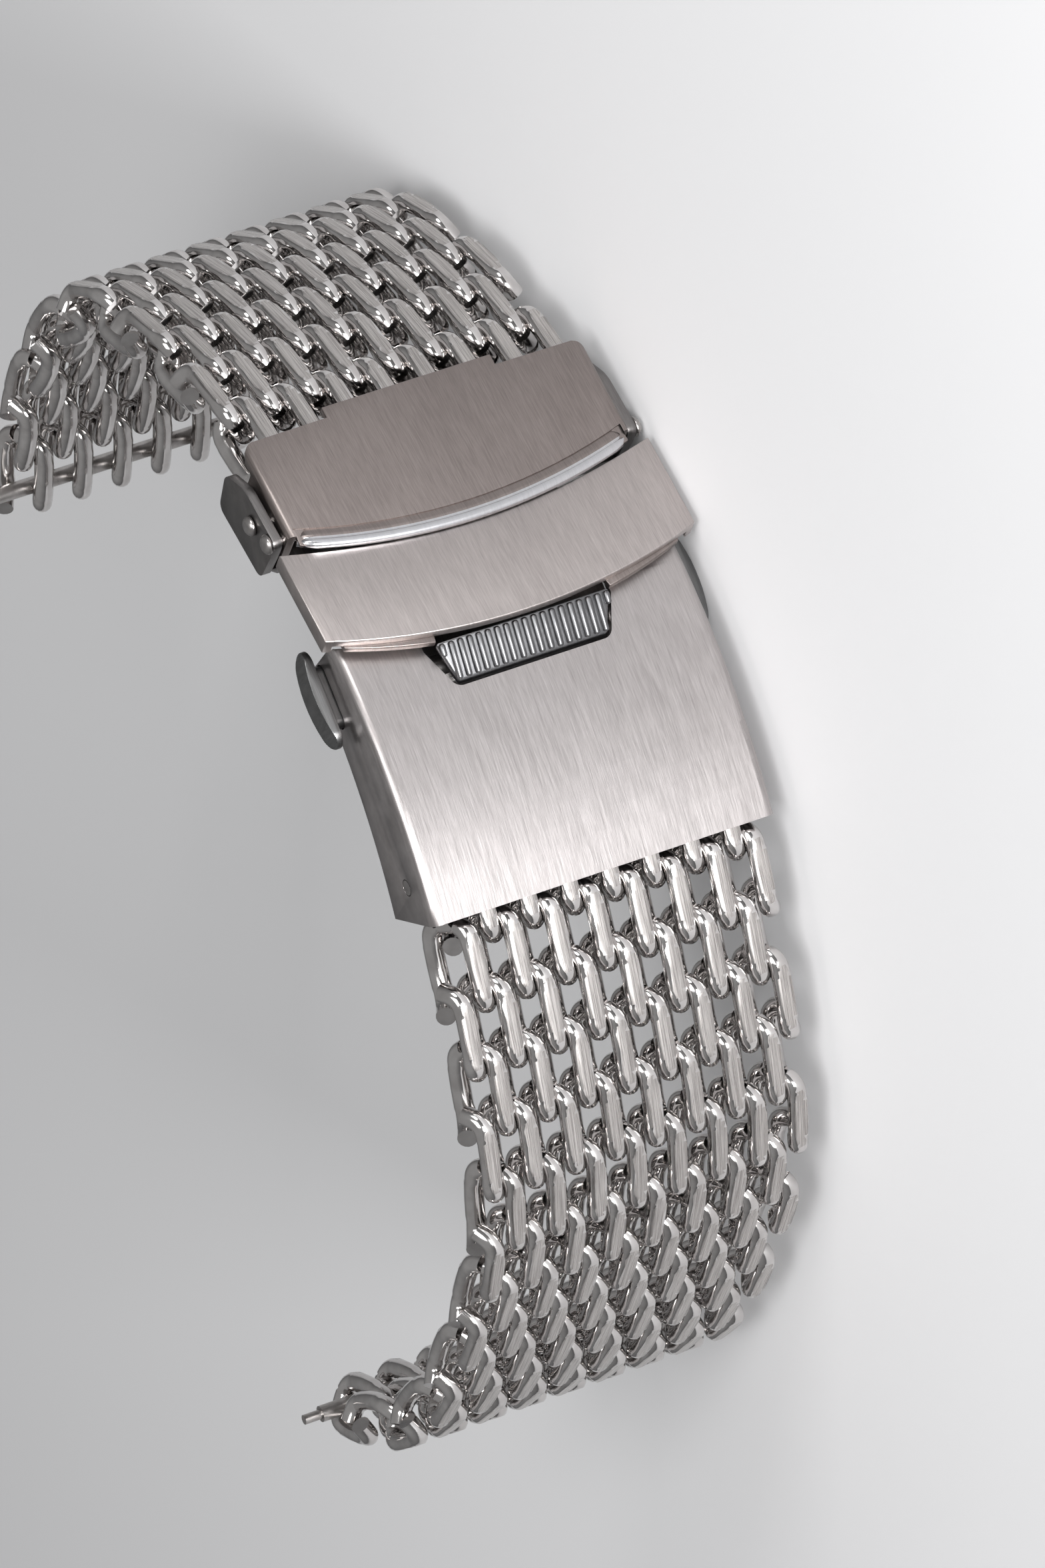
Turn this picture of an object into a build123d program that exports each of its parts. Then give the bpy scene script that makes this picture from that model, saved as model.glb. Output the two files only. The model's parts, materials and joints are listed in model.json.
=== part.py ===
from build123d import *
from math import cos, degrees, pi, radians, sin, tan
import os

# A shark mesh watch bracelet, closed, lying on its side. The loop lies in the XY plane and the band's
# width runs along Z. All sizes are in millimetres and all angles in degrees. The mesh is rows of one
# flattened coil each, and every coil hooks into the next. The clasp bridges the two halves of the mesh:
# a fixed end bridge, a flip lock with a ribbed tab, and a cover with a push button at each side.

# The loop under the clasp, measured to the middle of the mesh
loop_radius = 35.84
running_gap = 0.05
cut_overrun = 5.0

# Widths: the flip lock is the widest piece, and the others are set in from it at each side
lock_half_width = 11.84
base_inset = 0.19
base_half_width = lock_half_width - base_inset
base_wall = 0.55
bridge_side_gap = 0.19
bridge_half_width = base_half_width - base_wall - bridge_side_gap
lip_inset = 0.41
lip_half_width = bridge_half_width - lip_inset
cover_inset = 0.82
cover_half_width = lock_half_width - cover_inset
inner_inset = 0.32
inner_half_width = cover_half_width - inner_inset

# Mesh: the wire has six flats, the coils lie one row pitch apart, as many turns as the width holds
coil_pitch = 2.62
mesh_side_gap = 0.54
coil_turns = round(2 * (cover_half_width - mesh_side_gap) / coil_pitch)
row_pitch = 3.75
wire_flat = 0.95
hook_gap = 0.353
bend_run = 0.3
flat_sides = 6
side_turn = 360 / flat_sides

# Turns from row to row, from the clasp outwards, as the bracelet lies round a wrist
upper_turns = (6.0, 8.2, 8.8, 5.0, 6.0, 13.0, 15.9, 10.0, 7.0, 6.0, 8.0, 10.0)
lower_turns = (4.0, 4.0, 3.3, 3.9, 10.6, 14.5, 9.0, 2.6, 2.6, 4.4, 8.9, 10.0, 10.0, 8.0)

# Places along the clasp's curve, from the side corner where the bridge's lip meets the flip lock
upper_row_place = -4.42
lower_row_place = 21.28
lower_row_sink = 0.1

# End bridge
bridge_start = -7.0
bridge_start_level = 2.65
bridge_end_level = 2.22
bridge_sheet = 0.4
bridge_wall_depth = 2.2
bridge_rim_depth = 0.75
bridge_wall_start = -4.9
bridge_tab_half_width = 5.4
bridge_tab_height = 0.7
bridge_edge = -0.6
edge_bow = 1.6

# Lip along the bridge's lower edge
lip_overlap = 0.4
lip_reach = 1.2
lip_height = 0.4
lip_seat_gap = 0.06

# Flip lock: a flat outer plate with a bowed edge, an inner plate and a ribbed tab
lock_length = 6.18
lock_start_level = 1.8
lock_end_level = 2.66
lock_sheet = 0.6
lock_flange_depth = 1.2
lock_flange = 0.5
lock_hidden_edge = 0.45
lock_bow = 1.9
lock_pin_place = 3.9
lock_pin_depth = 1.6
lock_ear_radius = 0.85
lock_ear = 0.9
inner_sheet = 0.45
inner_start = 5.0
inner_gap_half_width = 5.6
inner_show = 0.45

# Ribbed tab
tab_half_width = 4.7
tab_start = 5.9
tab_show = 1.95
tab_drop = 1.75
tab_sheet = 0.5
rib_count = 18
rib_height = 0.28
rib_width_share = 0.6

# Cover
cover_start = 5.73
cover_start_level = 0.93
cover_middle_level = 1.72
cover_end = 21.95
cover_end_level = 2.3
cover_sheet = 0.45
cover_wall_level = -2.9
cover_edge_radius = 0.6
notch_half_width = 6.0
notch_floor_half_width = 4.95
notch_floor = 10.1
notch_corner_radius = 0.7

# Leaves under the cover
leaf_level = -1.8
leaf_sheet = 0.7
leaf_half_width = 7.0
leaf_start = -6.5
base_end = -0.8
base_wall_level = 1.5
leaf_ear = 0.8
middle_half_width = 6.15
cover_ear = 0.9

# Pins
pin_radius = 0.4
pin_head_radius = 0.6
pin_head_height = 0.4
mesh_pin_radius = 0.45
mesh_pin_inset = 1.15
bridge_pin_radius = 0.3
bridge_pin_place = -1.1
bridge_pin_level = 0.9
knuckle_radius = 0.65
leaf_hinge_place = 16.6
leaf_hinge_level = -1.1
cover_hinge_place = 8.4
cover_hinge_level = -0.35

# Push buttons, one at each side of the cover
button_place = 7.9
button_level = -1.9
button_length = 5.9
button_height = 1.8
button_cap = 0.75
button_end_cap = 0.3
button_travel = 0.45
shank_length = 3.8
shank_height = 1.0
shank_depth = 1.2
shank_gap = 0.08

# Spring bars at the two free ends, for a watch between the bracelet's ends
bar_radius = 0.5
bar_overrun = 0.18
bar_shoulder_half_length = cover_half_width + bar_overrun
bar_tip_radius = 0.3
bar_tip_length = 1.1

# Worked out from the sizes above
wire_corner = wire_flat / cos(pi / flat_sides)
coil_reach = (row_pitch + wire_corner + hook_gap) / 2
coil_shoulder = coil_reach - bend_run
coil_lift = coil_pitch / (4 * tan(radians(30)))
mesh_pin_offset = coil_reach - mesh_pin_inset


def turn_at(place):
    """Angle of the clasp's curve at a place along it."""
    return place / loop_radius


def at(place, level):
    """Point of the side view, at a place along the clasp and a level above the mesh's middle."""
    reach = loop_radius + level
    return Vector(-reach * sin(turn_at(place)), -reach * cos(turn_at(place)))


def along(turn):
    """Direction down the band at an angle of the loop, in radians."""
    return Vector(-cos(turn), sin(turn))


def outward(turn):
    return Vector(-sin(turn), -cos(turn))


def plan_at(place):
    """Plane that looks down on the clasp: x runs down the band, y across it, z outwards."""
    return Plane(origin=at(place, 0), x_dir=along(turn_at(place)), z_dir=outward(turn_at(place)))


lock_start_point = at(0, lock_start_level)
lock_along = (at(lock_length, lock_end_level) - lock_start_point).normalized()
lock_down = lock_along.rotate(Axis.Z, -90)
lock_plan = Plane(origin=lock_start_point, x_dir=lock_along, z_dir=-lock_down)


def on_lock(run, depth):
    """Point of the side view, along the flip lock's flat outer face and below it."""
    return lock_start_point + lock_along * run + lock_down * depth


lock_pin_point = on_lock(lock_pin_place, lock_pin_depth)
leaf_hinge_point = at(leaf_hinge_place, leaf_hinge_level)
cover_hinge_point = at(cover_hinge_place, cover_hinge_level)
bridge_pin_point = at(bridge_pin_place, bridge_pin_level)
upper_pin_point = at(upper_row_place, 0) + along(turn_at(upper_row_place)) * mesh_pin_offset
lower_pin_point = at(lower_row_place, -lower_row_sink) - along(turn_at(lower_row_place)) * mesh_pin_offset

parts = {}


def keep(name, part):
    part.label = name
    parts[name] = part


def wire_coil(turns):
    """One row of the mesh: a wire with flats, wound in a flattened coil.

    The coil climbs a quarter of its pitch on each sloping side, so the wire's section turns by one
    sixth of a circle from the outer runs to the inner ones, and its flats stay square to the band."""
    quarter = coil_pitch / 4
    start = -turns * coil_pitch / 2
    points = []
    for turn in range(turns):
        v = start + turn * coil_pitch
        points.append(Vector(coil_reach, 0, -v))
        points.append(Vector(coil_shoulder, -coil_lift, -v - quarter))
        points.append(Vector(-coil_shoulder, -coil_lift, -v - quarter))
        points.append(Vector(-coil_reach, 0, -v - 2 * quarter))
        points.append(Vector(-coil_shoulder, coil_lift, -v - 3 * quarter))
        points.append(Vector(coil_shoulder, coil_lift, -v - 3 * quarter))
    points.append(Vector(coil_reach, 0, start))
    first_run = points[1] - points[0]
    bend = first_run.cross(points[2] - points[1])
    with BuildPart() as row:
        with BuildLine():
            Polyline(*points)
        with BuildSketch(Plane(origin=points[0], x_dir=bend, z_dir=first_run)):
            RegularPolygon(wire_flat / 2, flat_sides, major_radius=False, rotation=side_turn / 2)
        sweep(transition=Transition.RIGHT)
    return row.part


def chain(first_point, first_turn, turns, side):
    """Middle points and angles of a run of rows. side is -1 up the band and 1 down it."""
    places = [(first_point, first_turn)]
    for step in turns:
        point, turn = places[-1]
        next_turn = turn + side * radians(step)
        half = side * row_pitch / 2
        places.append((point + along(turn) * half + along(next_turn) * half, next_turn))
    return places


upper_rows = chain(at(upper_row_place, 0), turn_at(upper_row_place), upper_turns, -1)
lower_rows = chain(at(lower_row_place, -lower_row_sink), turn_at(lower_row_place), lower_turns, 1)


def mesh_rows(name, rows):
    """The rows of one half. The first is narrower, to fit between the clasp's walls.

    Each second row is the same coil turned over, so that its bends fall between its neighbour's runs.
    The narrow first row starts half a turn further in, which turns it over too."""
    wide, narrow = wire_coil(coil_turns), wire_coil(coil_turns - 1)
    for number, (point, turn) in enumerate(rows):
        over = 180 if number % 2 or number == 0 else 0
        with BuildPart() as row:
            with Locations(Location(point, (0, 0, over - degrees(turn)))):
                add(wide if number else narrow)
        keep(f"{name}_row_{number + 1:02d}", row.part)


mesh_rows("upper", upper_rows)
mesh_rows("lower", lower_rows)


def bowed_outline(start, start_bow, end, end_bow, half_width):
    """Plan outline with straight sides and two edges bowed down the band."""
    with BuildSketch() as outline:
        with BuildLine():
            ThreePointArc((start, -half_width), (start + start_bow, 0), (start, half_width))
            Line((start, half_width), (end, half_width))
            ThreePointArc((end, half_width), (end + end_bow, 0), (end, -half_width))
            Line((end, -half_width), (start, -half_width))
        make_face()
    return outline.sketch_local


def pin(name, point, radius, half_length, head_radius=0.0, head_height=0.0):
    """Round pin across the band, with bevelled heads where they are given."""
    with BuildPart() as rod:
        with BuildSketch(Plane.XY):
            with Locations(point):
                Circle(radius)
        extrude(amount=half_length, both=True)
        if head_radius:
            for side in (1, -1):
                with BuildSketch(Plane.XY.offset(side * half_length)):
                    with Locations(point):
                        Circle(head_radius)
                extrude(amount=side * head_height)
            heads = rod.edges().filter_by(GeomType.CIRCLE).sort_by(Axis.Z)
            chamfer([heads[0], heads[-1]], length=head_height / 2)
    keep(name, rod.part)


# Lip: a raised bead, bowed in plan, whose outer half lies over the flip lock
with BuildPart() as lip:
    with BuildSketch(Plane.XY):
        Polygon(
            on_lock(bridge_edge - lip_reach, -lip_seat_gap),
            on_lock(bridge_edge + edge_bow + lip_reach + lip_overlap, -lip_seat_gap),
            on_lock(bridge_edge + edge_bow + lip_reach + lip_overlap, -lip_seat_gap - lip_height),
            on_lock(bridge_edge - lip_reach, -lip_seat_gap - lip_height),
            align=None,
        )
    extrude(amount=lip_half_width, both=True)
    with BuildSketch(lock_plan):
        add(bowed_outline(bridge_edge - lip_overlap, edge_bow, bridge_edge + lip_reach, edge_bow, lip_half_width))
    extrude(amount=cut_overrun, both=True, mode=Mode.INTERSECT)

# End bridge: a channel over the end of the upper mesh
bridge_end = bridge_edge + edge_bow
bridge_top = bridge_start - bridge_tab_height
bridge_start_point = at(bridge_start, bridge_start_level)
bridge_along = (at(bridge_end, bridge_end_level) - bridge_start_point).normalized()


def on_bridge(place, depth):
    """Point of the side view, at a place along the bridge's flat top and a depth below it."""
    return bridge_start_point + bridge_along * (place - bridge_start) + bridge_along.rotate(Axis.Z, -90) * depth


with BuildPart() as end_bridge:
    with BuildSketch(Plane.XY):
        Polygon(
            on_bridge(bridge_top - edge_bow, 0),
            on_bridge(bridge_end + edge_bow, 0),
            on_bridge(bridge_end + edge_bow, bridge_wall_depth),
            on_bridge(bridge_wall_start, bridge_wall_depth),
            on_bridge(bridge_wall_start, bridge_rim_depth),
            on_bridge(bridge_top - edge_bow, bridge_rim_depth),
            align=None,
        )
    extrude(amount=bridge_half_width, both=True)
    long_edges = end_bridge.edges().filter_by(GeomType.LINE).filter_by(
        lambda edge: abs(abs(edge.center().Z) - bridge_half_width) < running_gap)
    fillet(long_edges.sort_by(Axis.Y)[:2], bridge_sheet)
    with BuildSketch(Plane.XY):
        Polygon(
            on_bridge(bridge_top - 2 * edge_bow, bridge_sheet),
            on_bridge(bridge_end + 2 * edge_bow, bridge_sheet),
            on_bridge(bridge_end + 2 * edge_bow, bridge_wall_depth + cut_overrun),
            on_bridge(bridge_top - 2 * edge_bow, bridge_wall_depth + cut_overrun),
            align=None,
        )
    extrude(amount=bridge_half_width - bridge_sheet, both=True, mode=Mode.SUBTRACT)
    with BuildSketch(plan_at(0)):
        with BuildLine():
            Polyline(
                (bridge_edge, -bridge_half_width),
                (bridge_start, -bridge_half_width),
                (bridge_start, -bridge_tab_half_width),
                (bridge_top, -bridge_tab_half_width),
                (bridge_top, bridge_tab_half_width),
                (bridge_start, bridge_tab_half_width),
                (bridge_start, bridge_half_width),
                (bridge_edge, bridge_half_width),
            )
            ThreePointArc((bridge_edge, bridge_half_width), (bridge_end, 0), (bridge_edge, -bridge_half_width))
        make_face()
    extrude(amount=2 * cut_overrun, both=True, mode=Mode.INTERSECT)
    add(lip.part)
    with BuildSketch(Plane.XY):
        with Locations(bridge_pin_point):
            Circle(bridge_pin_radius + running_gap)
    extrude(amount=bridge_half_width + cut_overrun, both=True, mode=Mode.SUBTRACT)
    with BuildSketch(Plane.XY):
        with Locations(upper_pin_point):
            Circle(mesh_pin_radius + running_gap)
    extrude(amount=bridge_half_width + cut_overrun, both=True, mode=Mode.SUBTRACT)
keep("end_bridge", end_bridge.part)


def ears(eye, radius, foot, inner, thickness):
    """A pair of ears across the band: a round eye on a foot, whose two points are given."""
    across = (foot[1] - foot[0]).normalized() * radius
    with BuildPart() as pair:
        for side in (1, -1):
            with BuildSketch(Plane.XY.offset(side * inner)):
                with Locations(eye):
                    Circle(radius)
                Polygon(eye - across, foot[0], foot[1], eye + across, align=None)
            extrude(amount=side * thickness)
    return pair.part


def bore(point, radius, half_length):
    """Round hole across the part in hand, at a point of the side view."""
    with Locations(point):
        Cylinder(radius, 2 * half_length, mode=Mode.SUBTRACT)


def curved_strip(start, end, low, high):
    """Side outline between two levels, following the clasp's curve."""
    middle = (start + end) / 2
    with BuildSketch() as strip:
        with BuildLine():
            ThreePointArc(at(start, high), at(middle, high), at(end, high))
            Line(at(end, high), at(end, low))
            ThreePointArc(at(end, low), at(middle, low), at(start, low))
            Line(at(start, low), at(start, high))
        make_face()
    return strip.sketch_local


# Bottom leaf: the base that the bridge stands on, its side walls, and the curved blade under the cover
leaf_floor = leaf_level - leaf_sheet
leaf_end = leaf_hinge_place + knuckle_radius
lock_pin_ears = ears(
    lock_pin_point,
    lock_ear_radius,
    (at(lock_pin_place - 2 * lock_ear_radius, leaf_floor), at(lock_pin_place + 2 * lock_ear_radius, leaf_floor)),
    leaf_half_width - leaf_ear,
    leaf_ear,
)
leaf_hinge_ears = ears(
    leaf_hinge_point,
    knuckle_radius,
    (at(leaf_end - 4 * knuckle_radius, leaf_floor), at(leaf_end, leaf_floor)),
    leaf_half_width - leaf_ear,
    leaf_ear,
)
with BuildPart() as bottom_leaf:
    with BuildSketch(Plane.XY):
        add(curved_strip(leaf_start, leaf_end, leaf_floor, leaf_level))
    extrude(amount=leaf_half_width, both=True)
    with BuildSketch(Plane.XY):
        add(curved_strip(leaf_start, base_end, leaf_floor, leaf_level))
    extrude(amount=base_half_width, both=True)
    for side in (1, -1):
        with BuildSketch(Plane.XY.offset(side * base_half_width)):
            Polygon(
                at(leaf_start, leaf_floor),
                at(leaf_start, base_wall_level - 2 * base_wall),
                at(upper_row_place, base_wall_level),
                at(bridge_edge, base_wall_level),
                at(bridge_edge, bridge_pin_level - 2 * pin_radius),
                at(base_end, leaf_floor),
                align=None,
            )
        extrude(amount=-side * base_wall)
    add(lock_pin_ears)
    add(leaf_hinge_ears)
    bore(lock_pin_point, pin_radius + running_gap, leaf_half_width + cut_overrun)
    bore(leaf_hinge_point, pin_radius + running_gap, leaf_half_width + cut_overrun)
    bore(bridge_pin_point, bridge_pin_radius + running_gap, base_half_width + cut_overrun)
    bore(upper_pin_point, mesh_pin_radius + running_gap, base_half_width + cut_overrun)
keep("bottom_leaf", bottom_leaf.part)

# Middle leaf: a flat bar with a knuckle at each end
with BuildPart() as middle_leaf:
    with BuildSketch(Plane.XY):
        with Locations(leaf_hinge_point, cover_hinge_point):
            Circle(knuckle_radius)
        bar_across = (leaf_hinge_point - cover_hinge_point).normalized().rotate(Axis.Z, 90) * leaf_sheet / 2
        Polygon(
            leaf_hinge_point + bar_across,
            cover_hinge_point + bar_across,
            cover_hinge_point - bar_across,
            leaf_hinge_point - bar_across,
            align=None,
        )
    extrude(amount=middle_half_width, both=True)
    bore(leaf_hinge_point, pin_radius + running_gap, middle_half_width + cut_overrun)
    bore(cover_hinge_point, pin_radius + running_gap, middle_half_width + cut_overrun)
keep("middle_leaf", middle_leaf.part)


def cover_outline(drop, overrun):
    """Side outline of the cover, with its top lowered and its ends and foot lengthened."""
    start, end, middle = cover_start - overrun, cover_end + overrun, (cover_start + cover_end) / 2
    low = cover_wall_level - overrun
    with BuildSketch() as outline:
        with BuildLine():
            ThreePointArc(
                at(start, cover_start_level - drop),
                at(middle, cover_middle_level - drop),
                at(end, cover_end_level - drop),
            )
            Line(at(end, cover_end_level - drop), at(end, low))
            ThreePointArc(at(end, low), at(middle, low), at(start, low))
            Line(at(start, low), at(start, cover_start_level - drop))
        make_face()
    return outline.sketch_local


# Cover: a curved channel with a notch for the ribbed tab and a slot in each wall for a button
cover_plan_place = notch_floor
notch_top = cover_start - cover_plan_place
cover_ears = ears(
    cover_hinge_point,
    knuckle_radius,
    (at(cover_hinge_place - knuckle_radius, cover_start_level),
     at(cover_hinge_place + knuckle_radius, cover_start_level)),
    middle_half_width + running_gap,
    cover_ear,
)
with BuildPart() as cover:
    with BuildSketch(Plane.XY):
        add(cover_outline(0, 0))
    extrude(amount=cover_half_width, both=True)
    top_edges = cover.edges().filter_by(
        lambda edge: abs(abs(edge.center().Z) - cover_half_width) < running_gap).filter_by(GeomType.CIRCLE)
    fillet(top_edges.sort_by(Axis.Y)[:2], cover_edge_radius)
    with BuildSketch(Plane.XY):
        add(cover_outline(cover_sheet, cover_sheet))
    extrude(amount=cover_half_width - cover_sheet, both=True, mode=Mode.SUBTRACT)
    with BuildSketch(plan_at(cover_plan_place)):
        with BuildLine():
            ThreePointArc(
                (notch_top, -cover_half_width), (notch_top + lock_bow, 0), (notch_top, cover_half_width)
            )
            Polyline(
                (notch_top, cover_half_width),
                (notch_top - cut_overrun, cover_half_width),
                (notch_top - cut_overrun, -cover_half_width),
                (notch_top, -cover_half_width),
            )
        make_face()
        with BuildLine():
            Polyline(
                (notch_top, -notch_half_width),
                (notch_top + lock_bow, -notch_half_width),
                (0, -notch_floor_half_width),
                (0, notch_floor_half_width),
                (notch_top + lock_bow, notch_half_width),
                (notch_top, notch_half_width),
                close=True,
            )
        make_face()
        floor_corners = vertices().filter_by(lambda corner: corner.X > -running_gap)
        fillet(floor_corners, notch_corner_radius)
    extrude(amount=cut_overrun, mode=Mode.SUBTRACT)
    add(cover_ears)
    for side in (1, -1):
        with BuildSketch(Plane.XY.offset(side * (cover_half_width + cover_sheet))):
            with Locations(Location(at(button_place, button_level), (0, 0, -degrees(turn_at(button_place))))):
                SlotOverall(shank_length + 2 * shank_gap, shank_height + 2 * shank_gap)
        extrude(amount=-side * (3 * cover_sheet + button_travel), mode=Mode.SUBTRACT)
    bore(cover_hinge_point, pin_radius + running_gap, middle_half_width + cut_overrun / 2)
    bore(lower_pin_point, mesh_pin_radius + running_gap, cover_half_width + cut_overrun)
keep("cover", cover.part)

# Flip lock: outer plate with side flanges and a pair of ears on its pin
lock_ears = ears(
    lock_pin_point,
    lock_ear_radius,
    (on_lock(lock_pin_place - lock_ear_radius, lock_sheet / 2), on_lock(lock_pin_place + lock_ear_radius, lock_sheet / 2)),
    leaf_half_width + 2 * running_gap,
    lock_ear,
)
upper_edge = bridge_edge + lip_reach - lock_hidden_edge
with BuildPart() as lock_plate:
    with BuildSketch(Plane.XY):
        Polygon(
            on_lock(-lock_flange, 0),
            on_lock(lock_length + 2 * lock_bow, 0),
            on_lock(lock_length + 2 * lock_bow, lock_flange_depth),
            on_lock(-lock_flange, lock_flange_depth),
            align=None,
        )
    extrude(amount=lock_half_width, both=True)
    with BuildSketch(Plane.XY):
        Polygon(
            on_lock(-cut_overrun, lock_sheet),
            on_lock(lock_length + cut_overrun, lock_sheet),
            on_lock(lock_length + cut_overrun, lock_flange_depth + cut_overrun),
            on_lock(-cut_overrun, lock_flange_depth + cut_overrun),
            align=None,
        )
    extrude(amount=lock_half_width - lock_flange, both=True, mode=Mode.SUBTRACT)
    with BuildSketch(lock_plan):
        add(bowed_outline(upper_edge, edge_bow, lock_length, lock_bow, lock_half_width))
    extrude(amount=2 * cut_overrun, both=True, mode=Mode.INTERSECT)
    add(lock_ears)
    bore(lock_pin_point, pin_radius + running_gap, leaf_half_width + 2 * lock_ear)
keep("flip_lock_plate", lock_plate.part)

# Inner plate: lies under the outer plate, shows beyond its edge and ends in a point beside the tab
with BuildPart() as inner_plate:
    with BuildSketch(Plane.XY):
        Polygon(
            on_lock(0, lock_sheet),
            on_lock(lock_length + 2 * lock_bow, lock_sheet),
            on_lock(lock_length + 2 * lock_bow, lock_sheet + inner_sheet),
            on_lock(0, lock_sheet + inner_sheet),
            align=None,
        )
    extrude(amount=inner_half_width, both=True)
    with BuildSketch(lock_plan):
        inner_end = lock_length + inner_show
        with BuildLine():
            ThreePointArc((inner_end, inner_half_width), (inner_end + lock_bow, 0), (inner_end, -inner_half_width))
            Polyline(
                (inner_end, -inner_half_width),
                (inner_start, -inner_half_width),
                (inner_start, inner_half_width),
                (inner_end, inner_half_width),
            )
        make_face()
        with BuildLine():
            Polyline(
                (tab_start, -inner_gap_half_width + inner_show),
                (inner_end + 2 * lock_bow, -inner_gap_half_width - inner_show),
                (inner_end + 2 * lock_bow, inner_gap_half_width + inner_show),
                (tab_start, inner_gap_half_width - inner_show),
                close=True,
            )
        make_face(mode=Mode.SUBTRACT)
    extrude(amount=2 * cut_overrun, both=True, mode=Mode.INTERSECT)
keep("flip_lock_inner_plate", inner_plate.part)

# Ribbed tab: bends down beyond the plate's edge, with round-ended ribs that run down the band
tab_knee = lock_length + lock_bow
tab_tip = tab_knee + tab_show
rib_pitch = 2 * tab_half_width / rib_count
with BuildPart() as ribbed_tab:
    with BuildSketch(Plane.XY):
        Polygon(
            on_lock(tab_start + running_gap, lock_sheet),
            on_lock(tab_knee, lock_sheet),
            on_lock(tab_knee, lock_sheet + rib_height),
            on_lock(tab_tip, lock_sheet + rib_height + tab_drop - tab_sheet),
            on_lock(tab_tip - tab_sheet / 2, lock_sheet + rib_height + tab_drop),
            on_lock(tab_knee, lock_sheet + rib_height + tab_sheet + running_gap),
            on_lock(tab_start + running_gap, lock_sheet + tab_sheet),
            align=None,
        )
    extrude(amount=tab_half_width, both=True)
    for rib in range(rib_count):
        middle = -tab_half_width + (rib + 1 / 2) * rib_pitch
        with BuildSketch(Plane.XY.offset(middle)):
            Polygon(
                on_lock(tab_knee, lock_sheet),
                on_lock(tab_knee + 2 * rib_height, lock_sheet),
                on_lock(tab_tip, lock_sheet + tab_drop - tab_sheet),
                on_lock(tab_tip, lock_sheet + rib_height + tab_drop - tab_sheet),
                on_lock(tab_knee, lock_sheet + rib_height),
                align=None,
            )
        extrude(amount=rib_width_share * rib_pitch / 2, both=True)
keep("ribbed_tab", ribbed_tab.part)

# Push buttons: a cap outside the cover's wall, curved along its length, on a shank through the wall
cap_start = cover_half_width + button_travel + shank_gap
for name, side in (("button_left", 1), ("button_right", -1)):
    place = Location(at(button_place, button_level), (0, 0, -degrees(turn_at(button_place))))
    with BuildPart() as button:
        with BuildSketch(Plane.XY.offset(side * cap_start)):
            with Locations(place):
                SlotOverall(button_length, button_height)
        extrude(amount=side * button_cap)
        cap_foot, cap_end, cap_top = (-side * (cap_start + height) for height in (0, button_end_cap, button_cap))
        with BuildSketch(plan_at(button_place)):
            with BuildLine():
                Polyline(
                    (-button_length / 2, cap_end),
                    (-button_length / 2, cap_foot),
                    (button_length / 2, cap_foot),
                    (button_length / 2, cap_end),
                )
                ThreePointArc((button_length / 2, cap_end), (0, cap_top), (-button_length / 2, cap_end))
            make_face()
        extrude(amount=cut_overrun, both=True, mode=Mode.INTERSECT)
        with BuildSketch(Plane.XY.offset(side * cap_start)):
            with Locations(place):
                SlotOverall(shank_length, shank_height)
        extrude(amount=-side * shank_depth)
    keep(name, button.part)

pin("flip_lock_pin", lock_pin_point, pin_radius, leaf_half_width + lock_ear + 2 * running_gap)
pin("leaf_hinge_pin", leaf_hinge_point, pin_radius, leaf_half_width)
pin("cover_hinge_pin", cover_hinge_point, pin_radius, middle_half_width + cover_ear)
pin("bridge_pin", bridge_pin_point, bridge_pin_radius, base_half_width + running_gap / 2,
    pin_head_radius, pin_head_height)
pin("upper_mesh_pin", upper_pin_point, mesh_pin_radius, base_half_width + running_gap / 2,
    pin_head_radius, pin_head_height)
pin("lower_mesh_pin", lower_pin_point, mesh_pin_radius, cover_half_width)


upper_bar_point = upper_rows[-1][0] - along(upper_rows[-1][1]) * mesh_pin_offset
lower_bar_point = lower_rows[-1][0] + along(lower_rows[-1][1]) * mesh_pin_offset


def spring_bar(name, centre):
    """Bar through the last row's outer bends, with a thin tip at each end."""
    with BuildPart() as bar:
        with BuildSketch(Plane.XY):
            with Locations(centre):
                Circle(bar_radius)
        extrude(amount=bar_shoulder_half_length, both=True)
        with BuildSketch(Plane.XY):
            with Locations(centre):
                Circle(bar_tip_radius)
        extrude(amount=bar_shoulder_half_length + bar_tip_length, both=True)
    keep(name, bar.part)


spring_bar("upper_spring_bar", upper_bar_point)
spring_bar("lower_spring_bar", lower_bar_point)

# The origin is the middle of the bottom of the whole bracelet's box
boxes = [part.bounding_box() for part in parts.values()]
lowest = [min(corner) for corner in zip(*(box.min for box in boxes))]
highest = [max(corner) for corner in zip(*(box.max for box in boxes))]
ground = Location((-(lowest[0] + highest[0]) / 2, -(lowest[1] + highest[1]) / 2, -lowest[2]))
os.makedirs("parts", exist_ok=True)
for name, part in parts.items():
    placed = part.moved(ground)
    placed.label = name
    export_step(placed, f"parts/{name}.step")


def placed_point(point):
    moved = point + Vector(ground.position.X, ground.position.Y, 0)
    return round(moved.X, 4), round(moved.Y, 4)


print("raised by", round(ground.position.Z, 4))
for name, rows, side in (("upper", upper_rows, -1), ("lower", lower_rows, 1)):
    for number, (point, turn) in enumerate(rows):
        print(name, number + 1, placed_point(point), round(degrees(turn), 3),
              "next", placed_point(point + along(turn) * side * row_pitch / 2))
for name, point in (
    ("lock pin", lock_pin_point),
    ("leaf hinge", leaf_hinge_point),
    ("cover hinge", cover_hinge_point),
    ("upper mesh pin", upper_pin_point),
    ("lower mesh pin", lower_pin_point),
    ("upper bar", upper_bar_point),
    ("lower bar", lower_bar_point),
):
    print(name, placed_point(point))
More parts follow.
